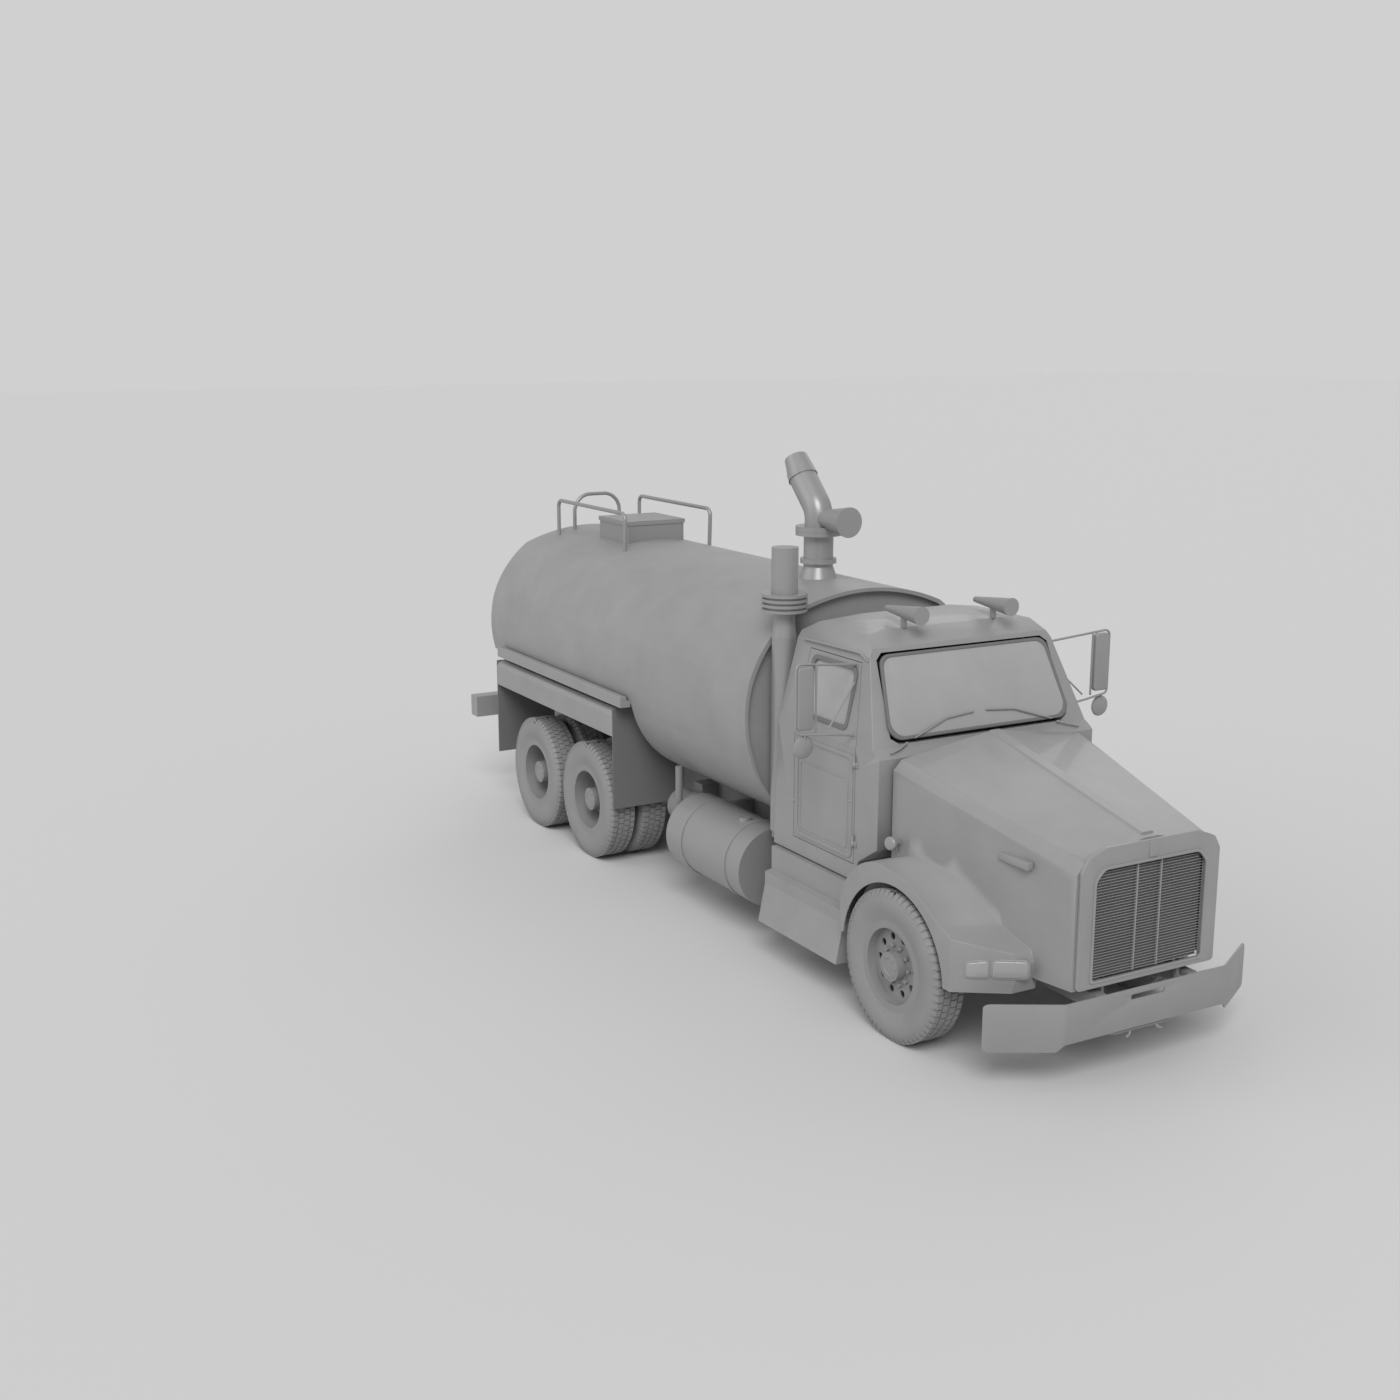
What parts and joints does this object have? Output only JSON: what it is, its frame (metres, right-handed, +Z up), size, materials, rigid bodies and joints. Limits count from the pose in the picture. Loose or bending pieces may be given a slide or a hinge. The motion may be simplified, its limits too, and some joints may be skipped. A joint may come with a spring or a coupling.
{
  "type": "water tanker truck",
  "caption": "Conventional-cab three-axle water tanker truck with an oval tank, a roof water monitor, opening doors, hood and hatch, steering and rolling wheels.",
  "frame": {"origin": "on the ground under the middle of the whole vehicle", "axes": "+X points forward, +Y to the left, +Z up"},
  "size_m": [9, 2.978, 3.8994],
  "materials": {
    "body_paint": "satin",
    "tank_paint": "satin",
    "frame_paint": "satin",
    "bumper_paint": "satin",
    "rim_paint": "satin",
    "bright_metal": "brushed",
    "cast_metal": "as cast",
    "tyre_rubber": "matte",
    "black_rubber": "matte",
    "pane": "polished",
    "lamp_lens": "gloss"
  },
  "bodies": {
    "chassis": {"air_horns": "bright_metal", "axle_mid": "cast_metal", "axle_rear": "cast_metal", "bumper_brackets": "frame_paint", "cab_shell": "body_paint", "crossmembers": "frame_paint", "drive_shaft": "cast_metal", "engine_block": "cast_metal", "exhaust_stack": "bright_metal", "frame_rails": "frame_paint", "front_axle_beam": "cast_metal", "front_bumper": "bumper_paint", "front_springs": "frame_paint", "fuel_straps": "bright_metal", "fuel_tanks": "bright_metal", "handrails": "bright_metal", "hatch_collar": "bright_metal", "monitor_base": "bright_metal", "mudflaps": "black_rubber", "radiator": "cast_metal", "rear_beam": "tank_paint", "rear_fenders": "tank_paint", "rear_suspension": "frame_paint", "rear_window": "pane", "step_boxes": "tank_paint", "tank_sills": "tank_paint", "tank_trays": "tank_paint", "water_pump": "cast_metal", "water_tank": "tank_paint", "windscreen": "pane"},
    "wheel_front_right": {"tyre_front_right": "tyre_rubber", "rim_front_right": "rim_paint"},
    "wheel_front_left": {"tyre_front_left": "tyre_rubber", "rim_front_left": "rim_paint"},
    "wheels_mid_right": {"tyres_mid_right": "tyre_rubber", "rims_mid_right": "rim_paint"},
    "wheels_mid_left": {"tyres_mid_left": "tyre_rubber", "rims_mid_left": "rim_paint"},
    "wheels_rear_right": {"tyres_rear_right": "tyre_rubber", "rims_rear_right": "rim_paint"},
    "wheels_rear_left": {"tyres_rear_left": "tyre_rubber", "rims_rear_left": "rim_paint"},
    "knuckle_right": {"knuckle_right": "cast_metal"},
    "knuckle_left": {"knuckle_left": "cast_metal"},
    "door_right": {"door_right": "body_paint", "mirror_right": "bright_metal"},
    "door_left": {"door_left": "body_paint", "mirror_left": "bright_metal"},
    "hood": {"hood": "body_paint", "grille_surround": "body_paint", "grille_slats": "bright_metal", "hood_strip": "body_paint", "headlamps": "lamp_lens"},
    "hatch_lid": {"hatch_lid": "bright_metal"},
    "monitor_head": {"monitor_head": "bright_metal"}
  },
  "joints": [
    {"name": "steer_left", "type": "hinge", "parent": "chassis", "child": "knuckle_left", "pos_m": [3.2, 0.88, 0.552], "axis": [0, 0, 1], "range_deg": [-35, 35]},
    {"name": "steer_right", "type": "hinge", "parent": "chassis", "child": "knuckle_right", "pos_m": [3.2, -0.88, 0.552], "axis": [0, 0, 1], "range_deg": [-35, 35]},
    {"name": "wheel_front_left_spin", "type": "hinge", "parent": "knuckle_left", "child": "wheel_front_left", "pos_m": [3.2, 1.066, 0.552], "axis": [0, 1, 0], "continuous": true},
    {"name": "wheel_front_right_spin", "type": "hinge", "parent": "knuckle_right", "child": "wheel_front_right", "pos_m": [3.2, -1.066, 0.552], "axis": [0, 1, 0], "continuous": true},
    {"name": "wheels_mid_left_spin", "type": "hinge", "parent": "chassis", "child": "wheels_mid_left", "pos_m": [-1.725, 1.044, 0.552], "axis": [0, 1, 0], "continuous": true},
    {"name": "wheels_mid_right_spin", "type": "hinge", "parent": "chassis", "child": "wheels_mid_right", "pos_m": [-1.725, -1.044, 0.552], "axis": [0, 1, 0], "continuous": true},
    {"name": "wheels_rear_left_spin", "type": "hinge", "parent": "chassis", "child": "wheels_rear_left", "pos_m": [-2.885, 1.044, 0.552], "axis": [0, 1, 0], "continuous": true},
    {"name": "wheels_rear_right_spin", "type": "hinge", "parent": "chassis", "child": "wheels_rear_right", "pos_m": [-2.885, -1.044, 0.552], "axis": [0, 1, 0], "continuous": true},
    {"name": "door_left_hinge", "type": "hinge", "parent": "chassis", "child": "door_left", "pos_m": [2.462, 1.011, 1.5], "axis": [0, 0, -1], "range_deg": [0, 70]},
    {"name": "door_right_hinge", "type": "hinge", "parent": "chassis", "child": "door_right", "pos_m": [2.462, -1.011, 1.5], "axis": [0, 0, 1], "range_deg": [0, 70]},
    {"name": "hood_hinge", "type": "hinge", "parent": "chassis", "child": "hood", "pos_m": [4.472, 0, 0.605], "axis": [0, 1, 0], "range_deg": [0, 60]},
    {"name": "hatch_lid_hinge", "type": "hinge", "parent": "chassis", "child": "hatch_lid", "pos_m": [-3.122, 0, 3.01], "axis": [0, -1, 0], "range_deg": [0, 100]},
    {"name": "monitor_swivel", "type": "hinge", "parent": "chassis", "child": "monitor_head", "pos_m": [0.42, 0, 3.26], "axis": [0, 0, 1], "range_deg": [-150, 150]}
  ],
  "couplings": [
    {"joint": "steer_right", "follows": "steer_left", "ratio": 1}
  ]
}
